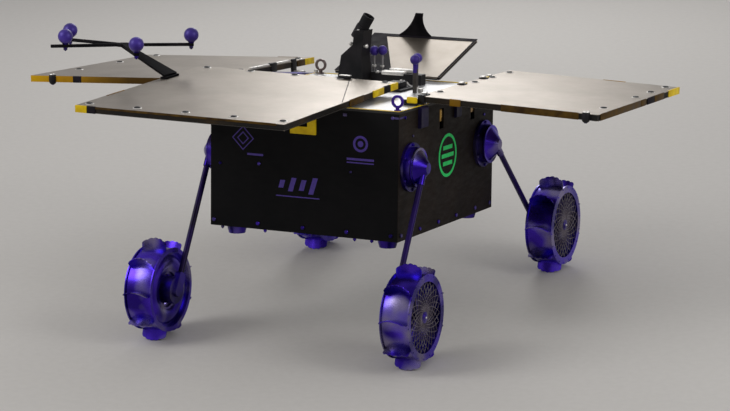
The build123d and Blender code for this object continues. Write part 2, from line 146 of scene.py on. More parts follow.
class Material:
    """A procedural material on one Principled shader."""

    def __init__(self, name):
        self.data = bpy.data.materials.new(name)
        self.data.use_nodes = True
        self.tree = self.data.node_tree
        self.shader = self.tree.nodes["Principled BSDF"]

    def add(self, kind, settings=None, sockets=None, output=0):
        """Adds a node, with its settings first and then its sockets' values or links."""
        node = self.tree.nodes.new(kind)
        for key, value in (settings or {}).items():
            if key == "stops":
                self.stops(node.color_ramp, value)
            else:
                setattr(node, key, value)
        for key, value in (sockets or {}).items():
            self.feed(node.inputs[key], value)
        return Value(self, node.outputs[output])

    def stops(self, ramp, stops):
        while len(ramp.elements) < len(stops):
            ramp.elements.new(0.5)
        for element, (place, colour) in zip(ramp.elements, stops):
            element.position = place
            element.color = (*colour, 1)

    def feed(self, socket, value):
        if isinstance(value, Value):
            self.tree.links.new(value.socket, socket)
        elif socket.type == "RGBA":
            socket.default_value = (*value, 1)
        else:
            socket.default_value = value

    def set(self, **sockets):
        """Feeds the shader's sockets; an underscore in a name stands for a space."""
        for key, value in sockets.items():
            self.feed(self.shader.inputs[key.replace("_", " ")], value)
        return self

    def place(self, frame_matrix=None, scale=(1, 1, 1)):
        """Object coordinates, read in a given frame."""
        point = self.add("ShaderNodeTexCoord", None, None, "Object")
        if frame_matrix is None:
            return self.add("ShaderNodeMapping", None, {"Vector": point, "Scale": scale})
        inverse = frame_matrix.inverted()
        local = self.add("ShaderNodeMapping", None, {
            "Vector": point,
            "Rotation": inverse.to_euler(),
            "Location": inverse.translation,
        })
        return self.add("ShaderNodeMapping", None, {"Vector": local, "Scale": scale})

    def split(self, vector):
        return [self.add("ShaderNodeSeparateXYZ", None, {0: vector}, index) for index in range(3)]

    def noise(self, vector, scale, detail=3.0, roughness=0.5):
        return self.add("ShaderNodeTexNoise", None, {
            "Vector": vector, "Scale": scale, "Detail": detail, "Roughness": roughness})

    def ramp(self, value, stops):
        return self.add("ShaderNodeValToRGB", {"stops": stops}, {"Fac": value})

    def span(self, value, low, high, to_low=0.0, to_high=1.0):
        return self.add("ShaderNodeMapRange", None, {
            "Value": value, "From Min": low, "From Max": high, "To Min": to_low, "To Max": to_high})

    def vary(self, noise, to_low=0.0, to_high=1.0):
        """Spreads the middle of a noise over a range."""
        return self.span(noise, NOISE_LOW, NOISE_HIGH, to_low, to_high)

    def mix(self, factor, first, second):
        return self.add("ShaderNodeMix", {"data_type": "RGBA"}, {0: factor, 6: first, 7: second}, 2)

    def bump(self, height, strength, distance):
        return self.add("ShaderNodeBump", None, {
            "Height": height, "Strength": strength, "Distance": distance})


# How near to a face's plane a point counts as on it
WALL_MARGIN = 0.001
DECK_MARGIN = 0.0002
RIM_MARGIN = 0.0003
# Heights between which painted shade darkens the foil behind the slots, downwards
FOIL_SHADE_HEIGHTS = (0.212, 0.219)
# Posts to the left of this x are dark, with painted violet lamp light above this height; the others are pale
DARK_POSTS = 0.05
POST_LAMP_LIT_HEIGHT = BODY_HEIGHT + 0.042
# The right panel's front edge fades between these places along it
EDGE_FADE = (-0.217, 0.04)

MAKERS = {}


def maker(function):
    """Notes a function that makes the material of its own name."""
    MAKERS[function.__name__] = function
    return function


@maker
def black_body():
    m = Material("black_body")
    place = m.place(BODY)
    cloud = m.noise(place, 9.0, 5.0, 0.6)
    grain = m.noise(place, 900.0, 2.0)
    smears = m.noise(m.place(BODY, (1, 1, 3)), 30.0, 6.0, 0.7)
    colour = m.mix(m.span(cloud, 0.35, 0.75), (0.0026, 0.0026, 0.0032), (0.006, 0.0055, 0.006))
    # Painted reflection: the side walls get a warm brown that stands in for the sand reflected in them
    brown = m.mix(m.span(cloud, 0.35, 0.75), (0.008, 0.0055, 0.0042), (0.019, 0.0125, 0.0088))
    colour = m.mix(m.split(place)[0].absolute().over(BODY_WIDTH / 2 - WALL_MARGIN), colour, brown)
    return m.set(Base_Color=colour, Roughness=m.span(smears, 0.3, 0.75, 0.45, 0.7),
                 Specular_IOR_Level=0.1, Normal=m.bump(grain, 0.08, 0.0003))


@maker
def bright_sheet():
    m = Material("bright_sheet")
    place = m.place(BODY)
    cloud = m.noise(place, 6.0, 4.0)
    brush = m.noise(m.place(BODY, (4, 260, 1)), 6.0, 3.0)
    colour = m.mix(m.vary(cloud), (0.55, 0.54, 0.53), (0.7, 0.7, 0.7))
    side = m.split(place)[2].under(BODY_HEIGHT - DECK_MARGIN)
    return m.set(Base_Color=m.mix(side, colour, (0.008, 0.007, 0.006)), Metallic=(1 - side) * 0.55,
                 Roughness=m.vary(brush, 0.3, 0.45) + side * 0.2,
                 Normal=m.bump(brush, 0.05, 0.0004))


@maker
def gold_film():
    m = Material("gold_film")
    crumple = m.add("ShaderNodeTexVoronoi", {"feature": "F1"},
                    {"Vector": m.place(BODY), "Scale": 70.0})
    fold = m.noise(m.place(BODY), 45.0, 4.0)
    colour = m.mix(m.vary(fold), (0.2, 0.1, 0.012), (0.55, 0.33, 0.07))
    # Painted shade: the foil goes dark towards the bottom of its slot
    low = m.span(m.split(m.place(BODY))[2], *FOIL_SHADE_HEIGHTS, 1.0, 0.0)
    colour = m.mix(low, colour, (0.02, 0.012, 0.004))
    return m.set(Base_Color=colour, Metallic=1.0, Roughness=0.24,
                 Normal=m.bump(crumple + fold, 0.6, 0.004))


@maker
def grey_block():
    m = Material("grey_block")
    cloud = m.noise(m.place(BODY), 20.0)
    return m.set(Base_Color=m.mix(cloud, (0.2, 0.2, 0.21), (0.4, 0.4, 0.41)),
                 Metallic=0.6, Roughness=0.5)


# Violet lamp light painted into metal colours, dark and bright; SILVER is the metal's own colour
PAINTED_LAMP_VIOLET = (0.075, 0.028, 0.58)
PAINTED_DEEP_LAMP_VIOLET = (0.02, 0.006, 0.2)
SILVER = (0.27, 0.235, 0.33)


def violet_lamp_lit_metal(name, silver, scale, roughness, dark=PAINTED_DEEP_LAMP_VIOLET, bright=PAINTED_LAMP_VIOLET):
    """Polished silver metal painted with violet lamp light, dark and bright in drifting patches, which gives way
    to bare silver in soft patches.
    """
    m = Material(name)
    place = m.place()
    patch = m.noise(place, scale, 1.5, 0.4)
    drift = m.noise(place, scale * 0.7, 1.0)
    scratches = m.noise(m.place(None, (30, 500, 500)), 3.0, 2.0)
    # Painted light: violet lamp light and violet highlights laid over the silver metal
    painted_lamp_tint = m.mix(m.span(drift, 0.4, 0.6), dark, bright)
    colour = m.mix(m.span(patch, 0.5, 0.68, 0.0, silver), painted_lamp_tint, SILVER)
    return m.set(Base_Color=colour, Metallic=0.92,
                 Roughness=m.vary(scratches, roughness * 0.8, roughness * 1.3),
                 Normal=m.bump(scratches, 0.02, 0.0002))


@maker
def wheel_metal():
    return violet_lamp_lit_metal("wheel_metal", 0.75, 20.0, 0.25)


@maker
def lattice_metal():
    m = Material("lattice_metal")
    cloud = m.noise(m.place(), 60.0)
    return m.set(Base_Color=m.mix(m.span(cloud, 0.35, 0.65), (0.24, 0.2, 0.24), (0.5, 0.45, 0.5)),
                 Metallic=0.85, Roughness=0.4)


@maker
def polished_metal():
    return violet_lamp_lit_metal("polished_metal", 0.8, 18.0, 0.22)


@maker
def machined_metal():
    # Painted light: a darker violet lamp light with brighter violet highlights
    return violet_lamp_lit_metal("machined_metal", 0.3, 24.0, 0.32, (0.012, 0.006, 0.09), (0.05, 0.02, 0.36))


@maker
def eye_steel():
    m = Material("eye_steel")
    place = m.place(BODY)
    cloud = m.noise(place, 90.0)
    # Painted light: the front eye carries the violet of the lamp light, the rear one a warm grey
    rear = m.split(place)[1].over(0)
    painted_violet_light = m.mix(cloud, (0.035, 0.014, 0.2), (0.09, 0.035, 0.45))
    bronze = m.mix(cloud, (0.1, 0.075, 0.075), (0.28, 0.22, 0.2))
    return m.set(Base_Color=m.mix(rear, painted_violet_light, bronze), Metallic=0.85,
                 Roughness=m.vary(cloud, 0.25, 0.38))


@maker
def black_tube():
    m = Material("black_tube")
    streak = m.noise(m.place(None, (400, 40, 40)), 1.5, 3.0)
    # Painted light: violet lamp light in drifting patches on the black, and a violet tint on the highlights
    painted_violet_light = m.noise(m.place(), 11.0, 2.0)
    colour = m.mix(m.span(painted_violet_light, 0.42, 0.6), (0.005, 0.004, 0.006), (0.014, 0.006, 0.07))
    return m.set(Base_Color=colour, Roughness=m.vary(streak, 0.26, 0.4),
                 Specular_IOR_Level=0.22, Specular_Tint=(0.5, 0.35, 1.0))


def black_matter(name, roughness, scale=500.0, shine=0.2):
    m = Material(name)
    cloud = m.noise(m.place(), 26.0, 4.0)
    grain = m.noise(m.place(), scale, 2.0)
    colour = m.mix(m.span(cloud, 0.35, 0.7), (0.005, 0.005, 0.006), (0.017, 0.015, 0.017))
    return m.set(Base_Color=colour,
                 Roughness=m.vary(cloud, roughness * 0.85, roughness * 1.15),
                 Specular_IOR_Level=shine, Normal=m.bump(grain, 0.12, 0.0003))


@maker
def black_housing():
    return black_matter("black_housing", 0.5)


@maker
def violet_black():
    m = Material("violet_black")
    cloud = m.noise(m.place(), 50.0, 3.0)
    # Painted light: violet lamp light tints the black in patches
    return m.set(Base_Color=m.mix(cloud, (0.005, 0.003, 0.014), (0.012, 0.007, 0.05)),
                 Specular_IOR_Level=0.2, Roughness=m.vary(cloud, 0.4, 0.6))


@maker
def black_rubber():
    return black_matter("black_rubber", 0.72, 900.0)


@maker
def black_rod():
    return black_matter("black_rod", 0.75, 500.0, 0.02)


@maker
def black_clip():
    return black_matter("black_clip", 0.45)


@maker
def marker_post():
    m = Material("marker_post")
    place = m.place(BODY)
    x, _, z = m.split(place)
    cloud = m.noise(place, 60.0)
    grey = m.mix(cloud, (0.035, 0.03, 0.028), (0.1, 0.088, 0.08))
    # Painted light: violet lamp light on the dark posts' upper parts
    painted_violet_light = m.mix(cloud, (0.02, 0.008, 0.14), (0.05, 0.02, 0.32))
    dark = m.mix(z.over(POST_LAMP_LIT_HEIGHT), grey, painted_violet_light)
    pale = m.mix(cloud, (0.16, 0.15, 0.16), (0.42, 0.4, 0.4))
    return m.set(Base_Color=m.mix(x.under(DARK_POSTS), dark, pale), Metallic=0.5,
                 Roughness=m.vary(cloud, 0.32, 0.46))


@maker
def marker_coat():
    m = Material("marker_coat")
    place = m.place()
    speck = m.noise(place, 1400.0, 1.0)
    drift = m.noise(place, 40.0, 2.0)
    # Painted light: the balls' violet is lamp light painted into their colour
    colour = m.mix(m.vary(drift), (0.03, 0.01, 0.2), (0.06, 0.024, 0.36))
    return m.set(Base_Color=colour, Metallic=0.25, Roughness=0.42, Sheen_Weight=0.15,
                 Normal=m.bump(speck, 0.25, 0.0003))


@maker
def yellow_tape():
    m = Material("yellow_tape")
    cloud = m.noise(m.place(), 40.0, 4.0)
    return m.set(Base_Color=m.mix(m.vary(cloud), (0.6, 0.38, 0.003), (0.93, 0.67, 0.01)),
                 Roughness=0.4, Specular_IOR_Level=0.2, Normal=m.bump(cloud, 0.15, 0.001))


def panel_sheet(name, node):
    """Brushed sheet of a panel, black on the rim of its lower skin."""
    board, (width, depth, height) = plate_frame(node)
    m = Material(name)
    place = m.place(board)
    cloud = m.noise(place, 7.0, 4.0, 0.6)
    brush = m.noise(m.place(board, (6, 420, 1)), 4.0, 4.0)
    colour = m.mix(m.vary(cloud), (0.24, 0.2, 0.155), (0.36, 0.31, 0.26))
    colour = m.mix(m.vary(brush, 0.0, 0.25), colour, (0.5, 0.45, 0.38))
    x, y, z = m.split(place)
    rim = x.absolute().over(width / 2 - RIM_MARGIN).either(y.absolute().over(depth / 2 - RIM_MARGIN))
    rim = rim.both(z.under(-height / 2))
    return m.set(Base_Color=m.mix(rim, colour, (0.012, 0.009, 0.006)), Metallic=(1 - rim) * 0.9,
                 Roughness=m.vary(brush, 0.3, 0.46) + rim * 0.25,
                 Normal=m.bump(brush, 0.06, 0.0004))


@maker
def panel_edge():
    m = Material("panel_edge")
    patch = m.noise(m.place(None, (1, 1, 0.2)), 9.0, 2.0)
    cloud = m.noise(m.place(), 40.0, 4.0)
    colour = m.ramp(patch, [(0.4, (0.006, 0.005, 0.004)), (0.56, (0.016, 0.01, 0.004)),
                            (0.66, (0.04, 0.02, 0.004)), (0.78, (0.1, 0.055, 0.006))])
    return m.set(Base_Color=colour, Roughness=m.vary(cloud, 0.4, 0.6), Specular_IOR_Level=0.25,
                 Normal=m.bump(cloud, 0.1, 0.001))


@maker
def amber_edge():
    m = Material("amber_edge")
    patch = m.noise(m.place(None, (1, 1, 0.3)), 7.0, 2.0)
    cloud = m.noise(m.place(), 50.0, 4.0)
    colour = m.ramp(patch, [(0.36, (0.05, 0.024, 0.003)), (0.5, (0.2, 0.1, 0.005)),
                            (0.68, (0.42, 0.22, 0.008))])
    return m.set(Base_Color=colour, Roughness=m.vary(cloud, 0.35, 0.5), Specular_IOR_Level=0.15,
                 Normal=m.bump(cloud, 0.1, 0.001))


def clouded(name, scale, detail, dark, bright, smooth, rough, **sockets):
    """A material whose colour and roughness follow one soft noise."""
    m = Material(name)
    cloud = m.noise(m.place(), scale, detail)
    return m.set(Base_Color=m.mix(m.vary(cloud), dark, bright),
                 Roughness=m.vary(cloud, smooth, rough), **sockets)


@maker
def violet_mark():
    return clouded("violet_mark", 160.0, 4.0, (0.05, 0.022, 0.24), (0.075, 0.035, 0.34), 0.38, 0.5)


@maker
def green_mark():
    return clouded("green_mark", 110.0, 4.0, (0.004, 0.72, 0.14), (0.02, 0.98, 0.22), 0.36, 0.5,
                   Specular_IOR_Level=0.2)


@maker
def silver_trim():
    return clouded("silver_trim", 90.0, 3.0, (0.6, 0.58, 0.54), (0.85, 0.82, 0.78), 0.26, 0.4,
                   Metallic=0.6)


@maker
def dark_frame():
    return clouded("dark_frame", 50.0, 3.0, (0.006, 0.005, 0.006), (0.018, 0.014, 0.02), 0.6, 0.8,
                   Specular_IOR_Level=0.12)


@maker
def brown_edge():
    m = Material("brown_edge")
    cloud = m.noise(m.place(), 60.0, 4.0)
    return m.set(Base_Color=m.mix(m.vary(cloud), (0.03, 0.014, 0.002), (0.1, 0.052, 0.004)),
                 Specular_IOR_Level=0.15, Roughness=m.vary(cloud, 0.4, 0.55),
                 Normal=m.bump(cloud, 0.1, 0.001))


@maker
def amber_fade():
    m = Material("amber_fade")
    place = m.place(plate_frame("right_panel_core")[0])
    cloud = m.noise(place, 45.0, 4.0)
    run = m.split(place)[0] + m.vary(cloud, -0.012, 0.012)
    colour = m.ramp(m.span(run, *EDGE_FADE), [
        (0.0, (0.55, 0.31, 0.002)), (0.3, (0.42, 0.21, 0.002)), (0.6, (0.2, 0.1, 0.002)),
        (1.0, (0.075, 0.036, 0.002))])
    return m.set(Base_Color=colour, Roughness=m.vary(cloud, 0.4, 0.55), Specular_IOR_Level=0.12,
                 Normal=m.bump(cloud, 0.08, 0.001))


materials = {name: make().data for name, make in MAKERS.items()}
for panel in ("front", "left", "right", "rear"):
    materials[f"panel_sheet_{panel}"] = panel_sheet(
        f"panel_sheet_{panel}", f"{panel}_panel_skins").data

slots = {part["node"]: part["material_slot"] for part in frame["record"]["subparts"]}
for name, node in nodes.items():
    key = slots[name]
    if key == "panel_sheet":
        key = "panel_sheet_" + name.split("_")[0]
    node.data.materials.clear()
    node.data.materials.append(materials[key])

# Making pieces

X = Vector((1, 0, 0))
Y = Vector((0, 1, 0))
Z = Vector((0, 0, 1))
FACING = {
    "front": axes(X, Z, -Y, (0, 0, 0)),
    "rear": axes(-X, Z, Y, (0, 0, 0)),
    "left": axes(Y, Z, X, (0, 0, 0)),
    "right": axes(-Y, Z, -X, (0, 0, 0)),
    "down": axes(X, -Y, -Z, (0, 0, 0)),
}


def shift(x, y, z=0.0):
    return Matrix.Translation((x, y, z))


def on_body(face, x, y, z):
    """A place on the body with its own z pointing out of that face."""
    return BODY @ shift(x, y, z) @ FACING[face]


SHARP_ANGLE = math.radians(35)


def as_mesh(shape, name):
    """Ends a bmesh as a mesh, smooth but for edges sharper than the angle."""
    data = bpy.data.meshes.new(name)
    shape.to_mesh(data)
    shape.free()
    data.shade_smooth()
    data.set_sharp_from_angle(angle=SHARP_ANGLE)
    return data


def joined(parts, name="joined"):
    """One mesh out of (mesh, place) pairs."""
    shape = bmesh.new()
    for mesh, place in parts:
        before = len(shape.verts)
        shape.from_mesh(mesh)
        shape.verts.ensure_lookup_table()
        bmesh.ops.transform(shape, matrix=place, verts=shape.verts[before:])
    return as_mesh(shape, name)


def dress(parts, name, material, body):
    """Makes (mesh, place) pairs one piece in its material, riding on its body."""
    data = joined(parts, name)
    piece = bpy.data.objects.new(name, data)
    scene.collection.objects.link(piece)
    data.materials.append(materials[material])
    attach(piece, body)
    return piece


def rise(shape, faces, by, grow=1.0):
    """Extrudes faces along z by a length, scaled about the z axis, and gives the new ones."""
    made = bmesh.ops.extrude_face_region(shape, geom=faces)["geom"]
    verts = [item for item in made if isinstance(item, bmesh.types.BMVert)]
    bmesh.ops.scale(shape, vec=(grow, grow, 1), verts=verts)
    bmesh.ops.translate(shape, vec=(0, 0, by), verts=verts)
    return [item for item in made if isinstance(item, bmesh.types.BMFace)]


def screw(radius, height, sides=12):
    """A button-headed screw with a recess."""
    shape = bmesh.new()
    bmesh.ops.create_circle(shape, cap_ends=True, segments=sides, radius=radius)
    top = rise(shape, shape.faces[:], height * 0.6)
    top = rise(shape, top, height * 0.4, 0.8)
    bmesh.ops.inset_region(shape, faces=top, thickness=radius * 0.32)
    rise(shape, top, -height * 0.5, 0.9)
    bmesh.ops.recalc_face_normals(shape, faces=shape.faces)
    return as_mesh(shape, "screw")


def nut(radius, height):
    """A hexagon nut on a washer, with the screw's end in it."""
    shape = bmesh.new()
    bmesh.ops.create_circle(shape, cap_ends=True, segments=18, radius=radius * 1.3)
    rise(shape, shape.faces[:], height * 0.15)
    washer = as_mesh(shape, "washer")
    shape = bmesh.new()
    bmesh.ops.create_circle(shape, cap_ends=True, segments=6, radius=radius)
    top = rise(shape, shape.faces[:], height * 0.7)
    top = rise(shape, top, height * 0.08, 0.9)
    bmesh.ops.inset_region(shape, faces=top, thickness=radius * 0.35)
    rise(shape, top, height * 0.3, 0.85)
    bmesh.ops.recalc_face_normals(shape, faces=shape.faces)
    body = as_mesh(shape, "nut")
    return joined([(washer, shift(0, 0)), (body, shift(0, 0, height * 0.12))])


def slab(width, depth, height, edge=0.0004):
    """A block on the plane z = 0 with softened edges."""
    shape = bmesh.new()
    bmesh.ops.create_cube(shape, size=1)
    bmesh.ops.scale(shape, vec=(width, depth, height), verts=shape.verts)
    bmesh.ops.translate(shape, vec=(0, 0, height / 2), verts=shape.verts)
    bmesh.ops.bevel(shape, geom=shape.edges[:], offset=edge, segments=2, profile=0.5,
                    affect="EDGES", material=-1)
    return as_mesh(shape, "slab")


def turned(points, steps=48):
    """A solid turned round z from (radius, height) points."""
    shape = bmesh.new()
    verts = [shape.verts.new((radius, 0, height)) for radius, height in points]
    edges = [shape.edges.new(pair) for pair in zip(verts, verts[1:])]
    bmesh.ops.spin(shape, geom=verts + edges, cent=(0, 0, 0), axis=(0, 0, 1),
                   angle=2 * math.pi, steps=steps, use_merge=True)
    bmesh.ops.remove_doubles(shape, verts=shape.verts, dist=1e-6)
    bmesh.ops.recalc_face_normals(shape, faces=shape.faces)
    return as_mesh(shape, "turned")


def ring(outer, inner, height, steps=48):
    """A flat ring with softened edges."""
    soft = min(height, outer - inner) * 0.2
    return turned([(inner, 0), (inner, height - soft), (inner + soft, height), (outer - soft, height),
                   (outer, height - soft), (outer, 0), (inner, 0)], steps)


# Wheels: the fine lattice of the outer face, its hub and pin, and rivets round its ring

LATTICE_REACH = 0.0803
LATTICE_RIBS = 25
LATTICE_STEPS = 13
LATTICE_TWIST = math.radians(84)
RIB_WIDTH = 0.00075
RIB_THICKNESS = 0.0016
LATTICE_START = 0.0105
LAYER_STEP = 0.0005
FACE_DEPTH = 0.003
BAND_INSIDE = 0.0786
FACE_SHEET = 0.0025
RIVET_CIRCLE = 0.0825
PADDLES = 9


def lattice_rib():
    """One rib that winds outwards from the hub, equally steep to every circle."""
    shape = bmesh.new()
    ends = [shape.verts.new((LATTICE_START, side * RIB_WIDTH / 2, 0)) for side in (-1, 1)]
    front = shape.edges.new(ends)
    grow = LATTICE_REACH - LATTICE_START
    turn_share = LATTICE_TWIST / math.log(LATTICE_REACH / LATTICE_START)
    heading = 0.0
    radius = LATTICE_START
    for _ in range(LATTICE_STEPS):
        made = bmesh.ops.extrude_edge_only(shape, edges=[front])["geom"]
        verts = [item for item in made if isinstance(item, bmesh.types.BMVert)]
        front = next(item for item in made if isinstance(item, bmesh.types.BMEdge)
                     and all(vert in verts for vert in item.verts))
        reach = grow / LATTICE_STEPS
        swing = turn_share * math.log((radius + reach) / radius)
        bmesh.ops.translate(shape, verts=verts,
                            vec=(reach * math.cos(heading), reach * math.sin(heading), 0))
        bmesh.ops.rotate(shape, verts=verts, cent=(0, 0, 0), matrix=Matrix.Rotation(swing, 3, "Z"))
        heading += swing
        radius += reach
    rise(shape, shape.faces[:], -RIB_THICKNESS)
    bmesh.ops.recalc_face_normals(shape, faces=shape.faces)
    return as_mesh(shape, "rib")


def lattice_face():
    """The wheel's outer face: ribs wound both ways between a hub and a band."""
    rib = lattice_rib()
    parts = []
    for index in range(LATTICE_RIBS):
        spoke = Matrix.Rotation(math.tau * index / LATTICE_RIBS, 4, "Z")
        parts.append((rib, spoke))
    one_way = joined(parts)
    shape = bmesh.new()
    shape.from_mesh(one_way)
    bmesh.ops.scale(shape, vec=(1, -1, 1), verts=shape.verts)
    bmesh.ops.translate(shape, vec=(0, 0, -LAYER_STEP), verts=shape.verts)
    bmesh.ops.recalc_face_normals(shape, faces=shape.faces)
    other_way = as_mesh(shape, "other_way")
    hub = turned([(0, 0), (0.0106, 0), (0.011, -0.0008), (0.011, -FACE_DEPTH), (0, -FACE_DEPTH)])
    band = turned([(BAND_INSIDE, 0), (LATTICE_REACH, 0), (LATTICE_REACH, -FACE_DEPTH),
                   (BAND_INSIDE, -FACE_DEPTH), (BAND_INSIDE, 0)], 96)
    here = Matrix.Identity(4)
    return joined([(one_way, here), (other_way, here), (hub, here), (band, here)])


def wheel_frame(end, side):
    """Frame on the outside of a wheel's face ring, with z pointing out."""
    low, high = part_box(f"wheel_rim_{end}_{side}")
    centre = joint_place(f"wheel_spin_{end}_{side}")
    outside = high.x if side == "left" else low.x
    return Matrix.Translation((outside, centre.y, centre.z)) @ FACING[side]


hub_cap = turned([(0, 0.0024), (0.006, 0.0024), (0.0074, 0.002), (0.0082, 0.001), (0.0112, 0.0006),
                  (0.0118, -0.0004), (0.0118, -0.001), (0, -0.001)], 36)
hub_pin = turned([(0, 0.0044), (0.0016, 0.0042), (0.0022, 0.0034), (0.0022, 0.0018),
                  (0, 0.0018)], 16)
face_mesh = lattice_face()
rivet = screw(0.0015, 0.0009, 8)
for end in ENDS:
    for side in SIDES:
        body = f"wheel_{end}_{side}"
        place = wheel_frame(end, side)
        inset = place @ shift(0, 0, -FACE_SHEET)
        face = dress([(face_mesh, inset)], f"wheel_mesh_{end}_{side}", "lattice_metal", body)
        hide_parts(f"wheel_lattice_{end}_{side}")
        dress([(hub_cap, inset)], f"wheel_hub_{end}_{side}", "machined_metal", body)
        dress([(hub_pin, inset)], f"wheel_pin_{end}_{side}", "silver_trim", body)
        rivets = []
        for index in range(2 * PADDLES):
            spoke = Matrix.Rotation(math.tau * index / (2 * PADDLES), 4, "Z")
            rivets.append((rivet, place @ spoke @ shift(RIVET_CIRCLE, 0)))
        dress(rivets, f"wheel_rivets_{end}_{side}", "polished_metal", body)

# Shoulders: screws round their flanges

SHOULDER_FLANGE = 0.006
SHOULDER_FACE = BODY_WIDTH / 2 + SHOULDER_FLANGE
FLANGE_BOLT_CIRCLE = 0.0452
FLANGE_SCREWS = 6
flange_screw = screw(0.0031, 0.003)
shoulder_screws = []
for end, toward in ENDS.items():
    for side, sign in SIDES.items():
        for index in range(FLANGE_SCREWS):
            angle = math.radians(90 + 360 / FLANGE_SCREWS * index)
            shoulder_screws.append((flange_screw, on_body(
                side, sign * SHOULDER_FACE,
                toward * SHOULDER_ALONG + FLANGE_BOLT_CIRCLE * math.cos(angle),
                SHOULDER_HEIGHT + FLANGE_BOLT_CIRCLE * math.sin(angle))))
dress(shoulder_screws, "shoulder_screws", "machined_metal", "chassis")

# Body: rows of screws along its lower edges, single screws, small plates, and nuts under its
# front and rear edges

MILLIMETRE = 0.001
half_x = BODY_WIDTH / 2
half_y = BODY_DEPTH / 2


def on_wall(face, along, z):
    """A place on a wall's outside: along is x on the front and rear, and y on the sides."""
    spots = {
        "front": (along, -half_y),
        "rear": (along, half_y),
        "left": (half_x, along),
        "right": (-half_x, along),
    }
    return on_body(face, *spots[face], z)


# Places along the lower edges, their z and the screws' radius, all in millimetres
END_ROW = (-203, -102, 0, 98, 196)
SIDE_ROW = (-224, -133, -41, 49, 148, 225)
LOWER_ROWS = {"front": END_ROW, "rear": END_ROW, "left": SIDE_ROW, "right": SIDE_ROW}
ROW_SCREW = (12, 4.2)
WALL_SCREWS = [(face, spot, *ROW_SCREW) for face, row in LOWER_ROWS.items() for spot in row]
WALL_SCREWS += [
    # face, place along it, z, radius
    ("front", -189, 130, 3.2), ("front", -100, 135, 3.6), ("front", 106, 134, 2.6),
    ("front", 197, 249, 3.6), ("front", -198, 249, 3.6),
    ("rear", -190, 130, 3.2), ("rear", 100, 135, 3.2), ("rear", 198, 249, 3.6),
    ("rear", -198, 249, 3.6),
]
for face in SIDES:
    WALL_SCREWS += [(face, -209, 247, 3.4), (face, 222, 247, 3.4),
                    (face, -172, 206, 3), (face, 188, 206, 3)]
wall_screws = []
for face, spot, z, radius in WALL_SCREWS:
    head = screw(radius * MILLIMETRE, radius * 0.7 * MILLIMETRE)
    wall_screws.append((head, on_wall(face, spot * MILLIMETRE, z * MILLIMETRE)))
BELLY_NUTS = (-0.188, -0.09, 0.012, 0.112, 0.15)
BELLY_NUT_ROW = 0.229
belly_nut = nut(0.0034, 0.006)
for x in BELLY_NUTS:
    for toward in ENDS.values():
        wall_screws.append((belly_nut, on_body("down", x, toward * BELLY_NUT_ROW, 0)))
WALL_PLATES = [
    # face, place along it, z, width, depth, thickness, softened edge
    ("front", 0.0925, 0.2485, 0.0085, 0.006, 0.0015, 0.0004),
    ("front", 0.2035, 0.249, 0.014, 0.004, 0.0006, 0.0002),
    ("left", -0.2245, 0.249, 0.026, 0.004, 0.0006, 0.0002),
]
for face, spot, z, *size in WALL_PLATES:
    wall_screws.append((slab(*size), on_wall(face, spot, z)))
dress(wall_screws, "wall_screws", "machined_metal", "chassis")

# Deck: edge tape, connector tops, low bracket, knobs and collars


def on_deck(x, y, z=0.0, lean=0.0):
    """A place over the deck's top, leaning to the rover's left by an angle."""
    return BODY @ shift(x, y, BODY_HEIGHT + z) @ Matrix.Rotation(lean, 4, "Y")


# Width of the tape, its thickness, softened edge and the middle's distance from the deck's edge
SIDE_TAPE = (0.005, 0.0006, 0.0002, 0.0022)
END_TAPE = (0.006, 0.0012, 0.0003, 0.0027)
deck_tape = []
wide, thick, soft, inset = SIDE_TAPE
for sign in (-1, 1):
    deck_tape.append((slab(wide, BODY_DEPTH, thick, soft), on_deck(sign * (half_x - inset), 0)))
wide, thick, soft, inset = END_TAPE
for sign in (-1, 1):
    deck_tape.append((slab(BODY_WIDTH, wide, thick, soft), on_deck(0, sign * (half_y - inset))))
dress(deck_tape, "deck_edge_tape", "yellow_tape", "chassis")

BOX_HEIGHT = 0.022
box_plug = turned([(0, 0), (0.0045, 0), (0.0045, 0.003), (0.0036, 0.0042), (0, 0.0042)], 24)
box_fittings = [
    (slab(0.053, 0.0175, 0.009, 0.002), on_deck(0.0145, 0.1592, BOX_HEIGHT - 0.0045)),
    (slab(0.062, 0.009, 0.0085, 0.002), on_deck(0.029, 0.1725, BOX_HEIGHT)),
    (box_plug, on_deck(-0.021, 0.153, BOX_HEIGHT - 0.0012)),
]
dress(box_fittings, "box_fittings", "silver_trim", "chassis")

knob = turned([(0, 0), (0.003, 0), (0.003, 0.002), (0.0045, 0.004), (0.0045, 0.007),
               (0.003, 0.0085), (0, 0.009)], 20)
post_collar = ring(0.0045, 0.0026, 0.004, 20)
plug = turned([(0, 0), (0.0026, 0), (0.0026, 0.012), (0.0034, 0.0125), (0.0034, 0.016),
               (0.002, 0.017), (0.002, 0.024), (0, 0.0245)], 20)
deck_knobs = [
    (knob, on_deck(-0.074, 0.14, 0.0775, -0.9)),
    (knob, on_deck(-0.0435, 0.132, 0.078, 1.45)),
    (screw(0.0028, 0.002), on_deck(-0.056, 0.128, 0.112)),
    (screw(0.003, 0.003), on_deck(0.068, 0.079, 0.017)),
    (knob, on_deck(0.061, -0.009)),
    (knob, on_deck(-0.2045, 0.228)),
    (plug, on_deck(0.088, 0.09, 0.003, -0.95)),
    (slab(0.008, 0.012, 0.008, 0.001), on_deck(0.123, 0.056)),
    (post_collar, on_deck(-0.042, 0.18, 0.03)),
    (post_collar, on_deck(-0.023, 0.18, 0.03)),
    (ring(0.0048, 0.0026, 0.004, 24), on_deck(0.095, 0.1)),
]
dress(deck_knobs, "deck_knobs", "silver_trim", "chassis")
nodes["marker_posts"].data.materials[0] = materials["marker_post"]
nodes["left_wall_brackets"].data.materials[0] = materials["violet_black"]

corner_tab = slab(0.0215, 0.0085, 0.013, 0.0025)
dress([(corner_tab, on_deck(0.192, -0.1365, 0.004))],
      "deck_corner_tab", "yellow_tape", "chassis")
